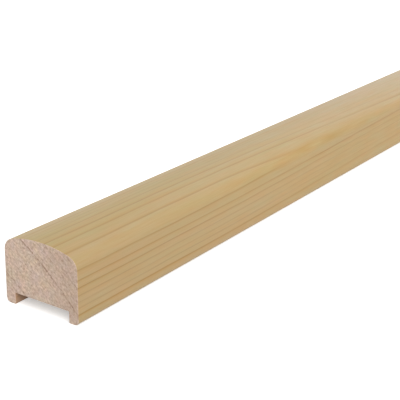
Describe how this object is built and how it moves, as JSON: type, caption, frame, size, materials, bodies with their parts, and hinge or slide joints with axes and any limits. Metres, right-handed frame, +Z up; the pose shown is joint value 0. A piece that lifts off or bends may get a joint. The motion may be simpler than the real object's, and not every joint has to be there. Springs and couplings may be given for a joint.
{
  "type": "stair handrail length",
  "caption": "Straight length of pine stair handrail with a rounded crown and shoulders for the hand, upright sides, and a groove underneath that takes the heads of square spindles.",
  "frame": {"origin": "halfway along the rail, midway between its sides, on the plane that its two legs stand on", "axes": "+X along the rail, +Y across it, +Z up through the crown"},
  "size_m": [2.4, 0.056, 0.045],
  "materials": {
    "pine": "planed bare softwood, sawn ends"
  },
  "bodies": {
    "root": {"handrail": "pine"}
  },
  "joints": []
}
